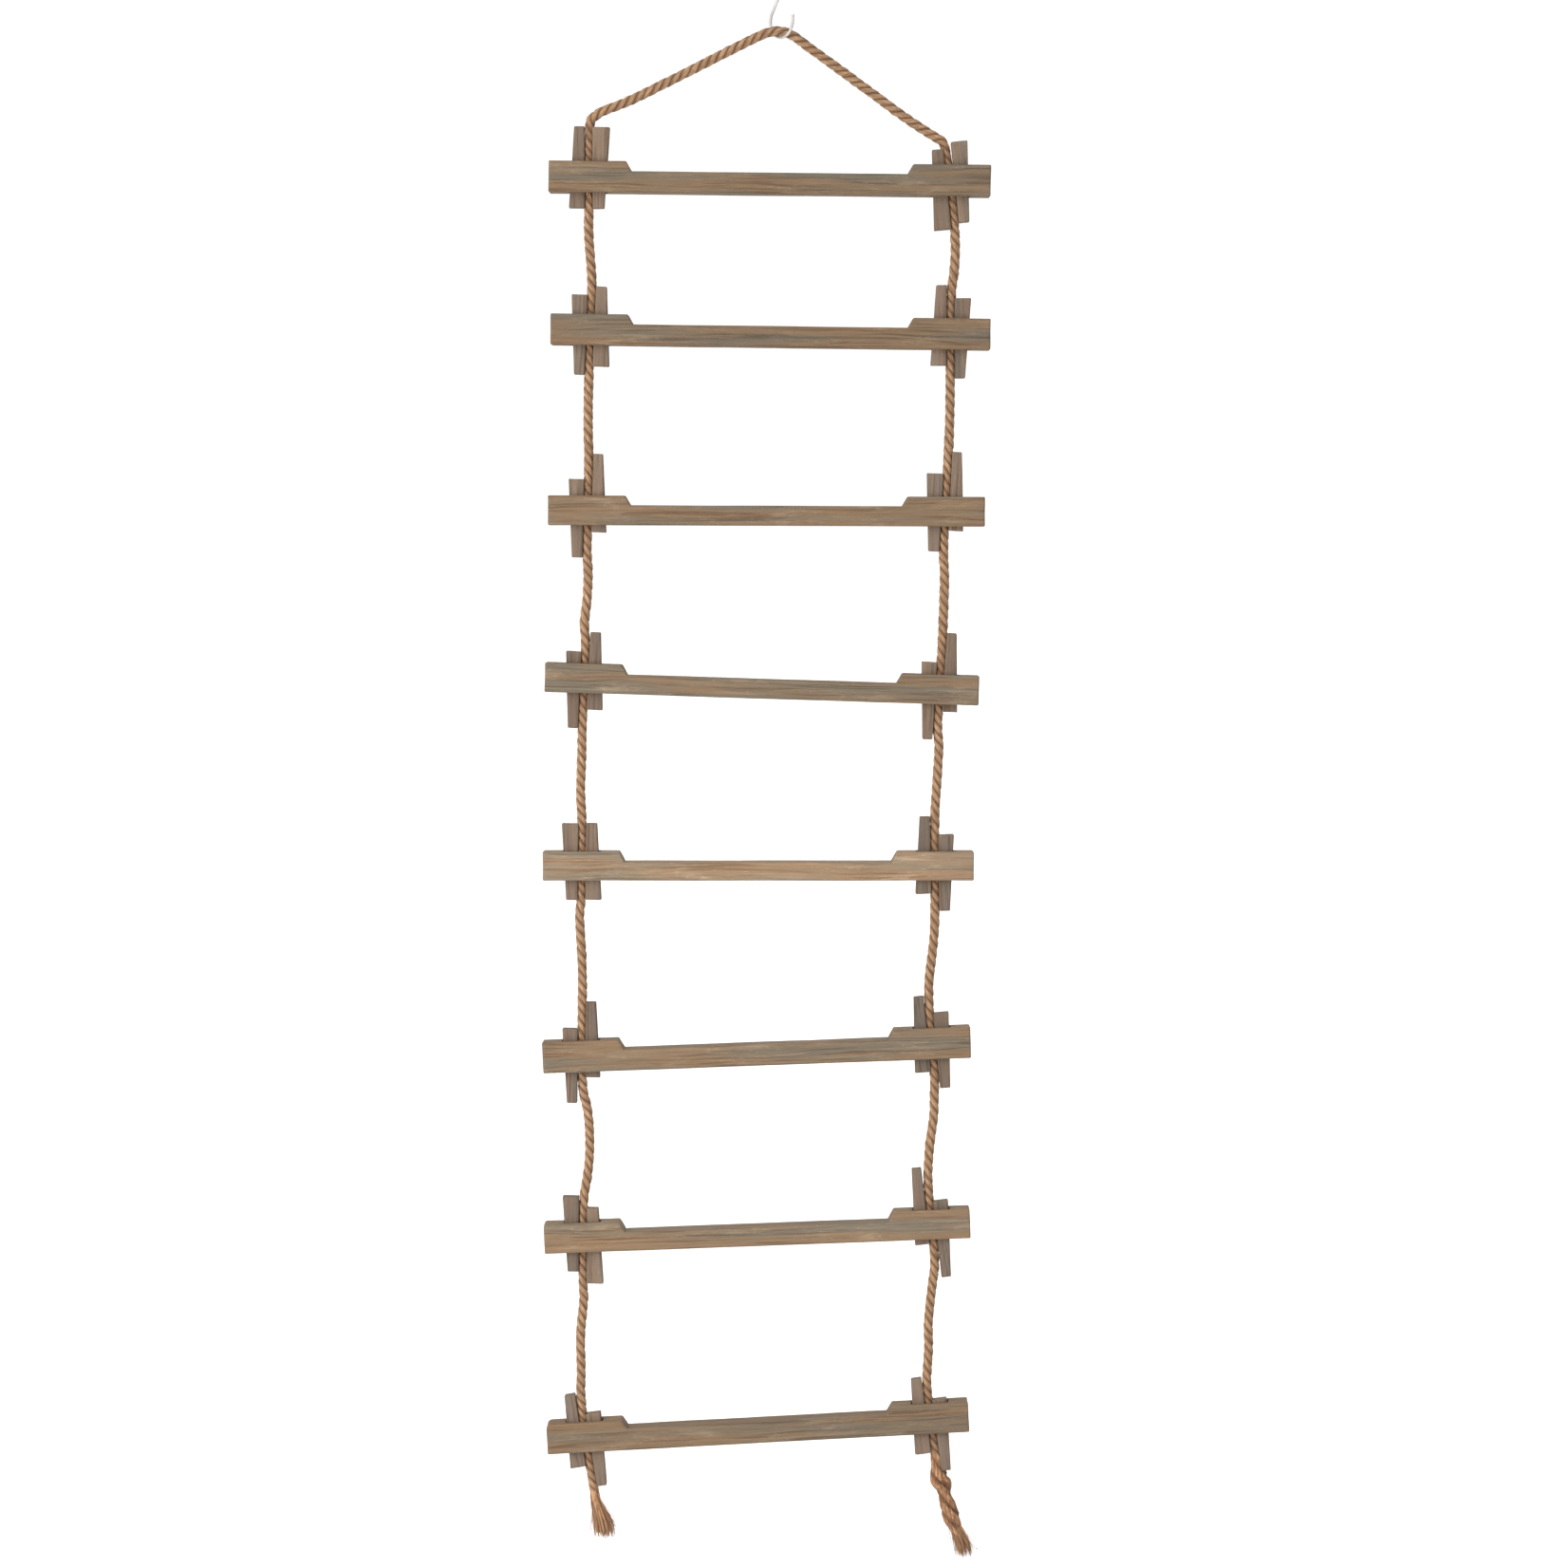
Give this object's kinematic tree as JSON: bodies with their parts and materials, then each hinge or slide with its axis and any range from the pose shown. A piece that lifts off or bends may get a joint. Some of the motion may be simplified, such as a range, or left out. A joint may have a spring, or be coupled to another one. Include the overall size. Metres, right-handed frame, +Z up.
{
  "type": "rope ladder",
  "caption": "Wooden rope ladder on a wire S-hook: slotted rungs threaded on one laid rope, each end pinched in place by two opposed driven wedges.",
  "frame": {"origin": "the inside top of the S-hook's upper bowl, where it bears on what it hangs from", "axes": "+X to the right along the rungs, +Y to the back, +Z up; the rope and the rungs' middles lie in the plane Y = 0"},
  "size_m": [0.4707, 0.0278, 1.7072],
  "materials": {
    "rung_wood": "weathered, unvarnished",
    "wedge_wood": "weathered, unvarnished",
    "rope": "natural laid fibre",
    "hook_wire": "bright zinc"
  },
  "bodies": {
    "hook": {"s_hook": "hook_wire"},
    "section_1": {"rung_1": "rung_wood", "rope_bight": "rope"},
    "section_2": {"rung_2": "rung_wood", "rope_left_2": "rope", "rope_right_2": "rope"},
    "section_3": {"rung_3": "rung_wood", "rope_left_3": "rope", "rope_right_3": "rope"},
    "section_4": {"rung_4": "rung_wood", "rope_left_4": "rope", "rope_right_4": "rope"},
    "section_5": {"rung_5": "rung_wood", "rope_left_5": "rope", "rope_right_5": "rope"},
    "section_6": {"rung_6": "rung_wood", "rope_left_6": "rope", "rope_right_6": "rope"},
    "section_7": {"rung_7": "rung_wood", "rope_left_7": "rope", "rope_right_7": "rope"},
    "section_8": {"rung_8": "rung_wood", "rope_left_8": "rope", "rope_right_8": "rope", "rope_tail_left": "rope", "rope_tail_right": "rope"},
    "wedge_left_1_outer": {"wedge_left_1_outer": "wedge_wood"},
    "wedge_left_1_inner": {"wedge_left_1_inner": "wedge_wood"},
    "wedge_right_1_inner": {"wedge_right_1_inner": "wedge_wood"},
    "wedge_right_1_outer": {"wedge_right_1_outer": "wedge_wood"},
    "wedge_left_2_outer": {"wedge_left_2_outer": "wedge_wood"},
    "wedge_left_2_inner": {"wedge_left_2_inner": "wedge_wood"},
    "wedge_right_2_inner": {"wedge_right_2_inner": "wedge_wood"},
    "wedge_right_2_outer": {"wedge_right_2_outer": "wedge_wood"},
    "wedge_left_3_outer": {"wedge_left_3_outer": "wedge_wood"},
    "wedge_left_3_inner": {"wedge_left_3_inner": "wedge_wood"},
    "wedge_right_3_inner": {"wedge_right_3_inner": "wedge_wood"},
    "wedge_right_3_outer": {"wedge_right_3_outer": "wedge_wood"},
    "wedge_left_4_outer": {"wedge_left_4_outer": "wedge_wood"},
    "wedge_left_4_inner": {"wedge_left_4_inner": "wedge_wood"},
    "wedge_right_4_inner": {"wedge_right_4_inner": "wedge_wood"},
    "wedge_right_4_outer": {"wedge_right_4_outer": "wedge_wood"},
    "wedge_left_5_outer": {"wedge_left_5_outer": "wedge_wood"},
    "wedge_left_5_inner": {"wedge_left_5_inner": "wedge_wood"},
    "wedge_right_5_inner": {"wedge_right_5_inner": "wedge_wood"},
    "wedge_right_5_outer": {"wedge_right_5_outer": "wedge_wood"},
    "wedge_left_6_outer": {"wedge_left_6_outer": "wedge_wood"},
    "wedge_left_6_inner": {"wedge_left_6_inner": "wedge_wood"},
    "wedge_right_6_inner": {"wedge_right_6_inner": "wedge_wood"},
    "wedge_right_6_outer": {"wedge_right_6_outer": "wedge_wood"},
    "wedge_left_7_outer": {"wedge_left_7_outer": "wedge_wood"},
    "wedge_left_7_inner": {"wedge_left_7_inner": "wedge_wood"},
    "wedge_right_7_inner": {"wedge_right_7_inner": "wedge_wood"},
    "wedge_right_7_outer": {"wedge_right_7_outer": "wedge_wood"},
    "wedge_left_8_outer": {"wedge_left_8_outer": "wedge_wood"},
    "wedge_left_8_inner": {"wedge_left_8_inner": "wedge_wood"},
    "wedge_right_8_inner": {"wedge_right_8_inner": "wedge_wood"},
    "wedge_right_8_outer": {"wedge_right_8_outer": "wedge_wood"}
  },
  "joints": [
    {"name": "ladder_swing", "type": "hinge", "parent": "hook", "child": "section_1", "pos_m": [0, 0, -0.0868], "axis": [1, 0, 0], "range_deg": [-30, 30]},
    {"name": "fold_1", "type": "hinge", "parent": "section_1", "child": "section_2", "pos_m": [0, 0, -0.316], "axis": [1, 0, 0], "range_deg": [-75, 75]},
    {"name": "fold_2", "type": "hinge", "parent": "section_2", "child": "section_3", "pos_m": [0, 0, -0.47], "axis": [-1, 0, 0], "range_deg": [-75, 75]},
    {"name": "fold_3", "type": "hinge", "parent": "section_3", "child": "section_4", "pos_m": [0, 0, -0.661], "axis": [1, 0, 0], "range_deg": [-75, 75]},
    {"name": "fold_4", "type": "hinge", "parent": "section_4", "child": "section_5", "pos_m": [0, 0, -0.86], "axis": [-1, 0, 0], "range_deg": [-75, 75]},
    {"name": "fold_5", "type": "hinge", "parent": "section_5", "child": "section_6", "pos_m": [0, 0, -1.03], "axis": [1, 0, 0], "range_deg": [-75, 75]},
    {"name": "fold_6", "type": "hinge", "parent": "section_6", "child": "section_7", "pos_m": [0, 0, -1.238], "axis": [-1, 0, 0], "range_deg": [-75, 75]},
    {"name": "fold_7", "type": "hinge", "parent": "section_7", "child": "section_8", "pos_m": [0, 0, -1.434], "axis": [1, 0, 0], "range_deg": [-75, 75]},
    {"name": "release_left_1_outer", "type": "slide", "parent": "section_1", "child": "wedge_left_1_outer", "axis": [-0.0706, 0, -0.9975], "range_m": [0, 0.02]},
    {"name": "release_left_1_inner", "type": "slide", "parent": "section_1", "child": "wedge_left_1_inner", "axis": [0.0706, 0, 0.9975], "range_m": [0, 0.003]},
    {"name": "release_right_1_inner", "type": "slide", "parent": "section_1", "child": "wedge_right_1_inner", "axis": [0.0305, 0, -0.9995], "range_m": [0, 0.01]},
    {"name": "release_right_1_outer", "type": "slide", "parent": "section_1", "child": "wedge_right_1_outer", "axis": [-0.0305, 0, 0.9995], "range_m": [0, 0.02]},
    {"name": "release_left_2_outer", "type": "slide", "parent": "section_2", "child": "wedge_left_2_outer", "axis": [-0.0253, 0, 0.9997], "range_m": [0, 0.02]},
    {"name": "release_left_2_inner", "type": "slide", "parent": "section_2", "child": "wedge_left_2_inner", "axis": [0.0253, 0, -0.9997], "range_m": [0, 0.02]},
    {"name": "release_right_2_inner", "type": "slide", "parent": "section_2", "child": "wedge_right_2_inner", "axis": [-0.0706, 0, -0.9975], "range_m": [0, 0.02]},
    {"name": "release_right_2_outer", "type": "slide", "parent": "section_2", "child": "wedge_right_2_outer", "axis": [0.0706, 0, 0.9975], "range_m": [0, 0.013]},
    {"name": "release_left_3_outer", "type": "slide", "parent": "section_3", "child": "wedge_left_3_outer", "axis": [-0.0375, 0, 0.9993], "range_m": [0, 0.02]},
    {"name": "release_left_3_inner", "type": "slide", "parent": "section_3", "child": "wedge_left_3_inner", "axis": [0.0375, 0, -0.9993], "range_m": [0, 0.02]},
    {"name": "release_right_3_inner", "type": "slide", "parent": "section_3", "child": "wedge_right_3_inner", "axis": [-0.0201, 0, 0.9998], "range_m": [0, 0.02]},
    {"name": "release_right_3_outer", "type": "slide", "parent": "section_3", "child": "wedge_right_3_outer", "axis": [0.0201, 0, -0.9998], "range_m": [0, 0.02]},
    {"name": "release_left_4_outer", "type": "slide", "parent": "section_4", "child": "wedge_left_4_outer", "axis": [-0.0166, 0, 0.9999], "range_m": [0, 0.02]},
    {"name": "release_left_4_inner", "type": "slide", "parent": "section_4", "child": "wedge_left_4_inner", "axis": [0.0166, 0, -0.9999], "range_m": [0, 0.02]},
    {"name": "release_right_4_inner", "type": "slide", "parent": "section_4", "child": "wedge_right_4_inner", "axis": [-0.0113, 0, 0.9999], "range_m": [0, 0.02]},
    {"name": "release_right_4_outer", "type": "slide", "parent": "section_4", "child": "wedge_right_4_outer", "axis": [0.0113, 0, -0.9999], "range_m": [0, 0.02]},
    {"name": "release_left_5_outer", "type": "slide", "parent": "section_5", "child": "wedge_left_5_outer", "axis": [-0.0532, 0, 0.9986], "range_m": [0, 0.016]},
    {"name": "release_left_5_inner", "type": "slide", "parent": "section_5", "child": "wedge_left_5_inner", "axis": [0.0532, 0, -0.9986], "range_m": [0, 0.02]},
    {"name": "release_right_5_inner", "type": "slide", "parent": "section_5", "child": "wedge_right_5_inner", "axis": [-0.0497, 0, -0.9988], "range_m": [0, 0.02]},
    {"name": "release_right_5_outer", "type": "slide", "parent": "section_5", "child": "wedge_right_5_outer", "axis": [0.0497, 0, 0.9988], "range_m": [0, 0.02]},
    {"name": "release_left_6_outer", "type": "slide", "parent": "section_6", "child": "wedge_left_6_outer", "axis": [-0.0567, 0, 0.9984], "range_m": [0, 0.02]},
    {"name": "release_left_6_inner", "type": "slide", "parent": "section_6", "child": "wedge_left_6_inner", "axis": [0.0567, 0, -0.9984], "range_m": [0, 0.013]},
    {"name": "release_right_6_inner", "type": "slide", "parent": "section_6", "child": "wedge_right_6_inner", "axis": [0.0253, 0, -0.9997], "range_m": [0, 0.02]},
    {"name": "release_right_6_outer", "type": "slide", "parent": "section_6", "child": "wedge_right_6_outer", "axis": [-0.0253, 0, 0.9997], "range_m": [0, 0.02]},
    {"name": "release_left_7_outer", "type": "slide", "parent": "section_7", "child": "wedge_left_7_outer", "axis": [-0.0619, 0, 0.9981], "range_m": [0, 0.02]},
    {"name": "release_left_7_inner", "type": "slide", "parent": "section_7", "child": "wedge_left_7_inner", "axis": [0.0619, 0, -0.9981], "range_m": [0, 0.009]},
    {"name": "release_right_7_inner", "type": "slide", "parent": "section_7", "child": "wedge_right_7_inner", "axis": [0.0445, 0, -0.999], "range_m": [0, 0.02]},
    {"name": "release_right_7_outer", "type": "slide", "parent": "section_7", "child": "wedge_right_7_outer", "axis": [-0.0445, 0, 0.999], "range_m": [0, 0.02]},
    {"name": "release_left_8_outer", "type": "slide", "parent": "section_8", "child": "wedge_left_8_outer", "axis": [0.0776, 0, -0.997], "range_m": [0, 0.02]},
    {"name": "release_left_8_inner", "type": "slide", "parent": "section_8", "child": "wedge_left_8_inner", "axis": [-0.0776, 0, 0.997], "range_m": [0, 0.016]},
    {"name": "release_right_8_inner", "type": "slide", "parent": "section_8", "child": "wedge_right_8_inner", "axis": [0.0602, 0, -0.9982], "range_m": [0, 0.02]},
    {"name": "release_right_8_outer", "type": "slide", "parent": "section_8", "child": "wedge_right_8_outer", "axis": [-0.0602, 0, 0.9982], "range_m": [0, 0.016]}
  ]
}
